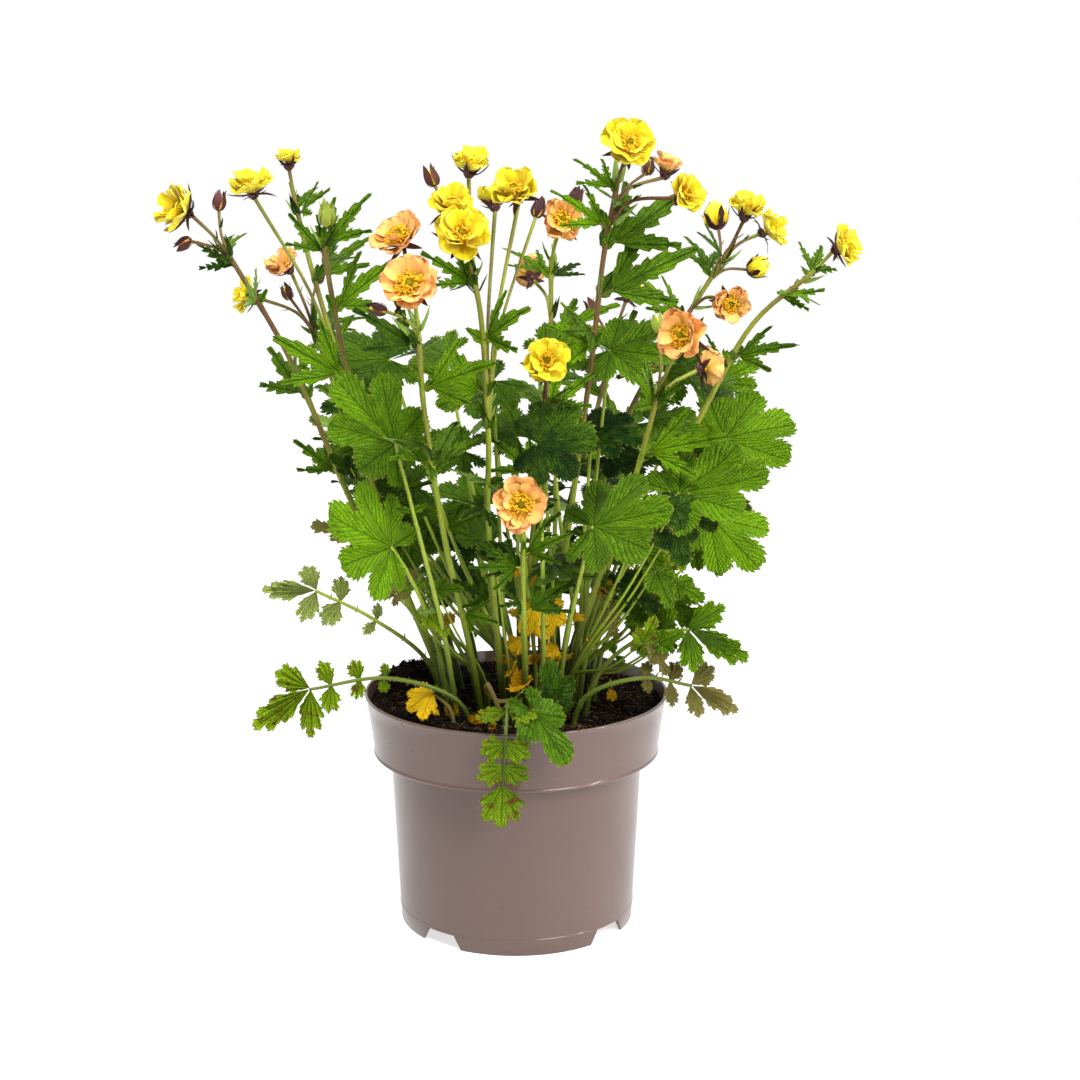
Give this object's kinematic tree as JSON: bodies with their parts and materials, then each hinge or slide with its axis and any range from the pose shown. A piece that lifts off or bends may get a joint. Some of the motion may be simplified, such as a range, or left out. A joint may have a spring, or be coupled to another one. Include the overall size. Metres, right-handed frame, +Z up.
{
  "type": "potted garden perennial",
  "caption": "Water avens in flower in a round nursery pot: a tuft of toothed leaves and leafy, branching stems with double yellow and apricot blooms.",
  "frame": {"origin": "on the ground, under the middle of the object's box, which is the pot's axis to within 3 mm", "axes": "+Z up along the pot's axis; -Y is the front that the picture shows; +X is right as seen from the front"},
  "size_m": [0.4128, 0.2881, 0.5028],
  "materials": {
    "pot_plastic": "taupe, smooth with a soft shine",
    "compost": "dark, damp, crumbly and fibrous",
    "stem": "softly hairy, satin",
    "leaf": "veined, satin",
    "withered_leaf": "yellowed, dry, matt",
    "petal_yellow": "silky, thin",
    "petal_apricot": "silky, thin"
  },
  "bodies": {
    "root": {"pot": "pot_plastic", "compost": "compost", "stem_far_left": "stem", "bloom_far_left_1": "petal_yellow", "stem_left_pair": "stem", "bloom_left_pair_1": "petal_yellow", "bloom_left_pair_2": "petal_yellow", "stem_left_back": "stem", "bloom_left_back_1": "petal_apricot", "bloom_left_back_2": "petal_yellow", "stem_left_front": "stem", "stem_front_left": "stem", "bloom_front_left_1": "petal_apricot", "bloom_front_left_2": "petal_apricot", "stem_front": "stem", "bloom_front_1": "petal_yellow", "bloom_front_2": "petal_yellow", "bloom_front_3": "petal_yellow", "bloom_front_4": "petal_yellow", "bloom_front_5": "petal_yellow", "stem_back_middle": "stem", "bloom_back_middle_1": "petal_apricot", "bloom_back_middle_2": "petal_apricot", "stem_middle": "stem", "bloom_middle_1": "petal_yellow", "stem_low": "stem", "bloom_low_1": "petal_apricot", "stem_tall": "stem", "bloom_tall_1": "petal_yellow", "bloom_tall_2": "petal_apricot", "bloom_tall_3": "petal_yellow", "stem_back_right": "stem", "bloom_back_right_1": "petal_yellow", "stem_right": "stem", "bloom_right_1": "petal_yellow", "bloom_right_2": "petal_yellow", "bloom_right_3": "petal_apricot", "stem_right_front": "stem", "bloom_right_front_1": "petal_apricot", "bloom_right_front_2": "petal_apricot", "stem_far_right": "stem", "bloom_far_right_1": "petal_yellow", "leaf_upper_left": "leaf", "leaf_left": "leaf", "leaf_middle": "leaf", "leaf_front_right": "leaf", "leaf_far_right": "leaf", "leaf_right": "leaf", "leaf_right_low": "leaf", "leaf_low_right": "leaf", "leaf_rim_right": "leaf", "leaf_rim_left": "leaf", "leaf_low_left": "leaf", "leaf_over_rim": "leaf", "leaf_folded": "leaf", "leaf_small_round": "leaf", "leaf_back": "leaf", "leaf_back_left": "leaf", "withered_leaf_left": "withered_leaf", "withered_leaf_middle": "withered_leaf"}
  },
  "joints": []
}
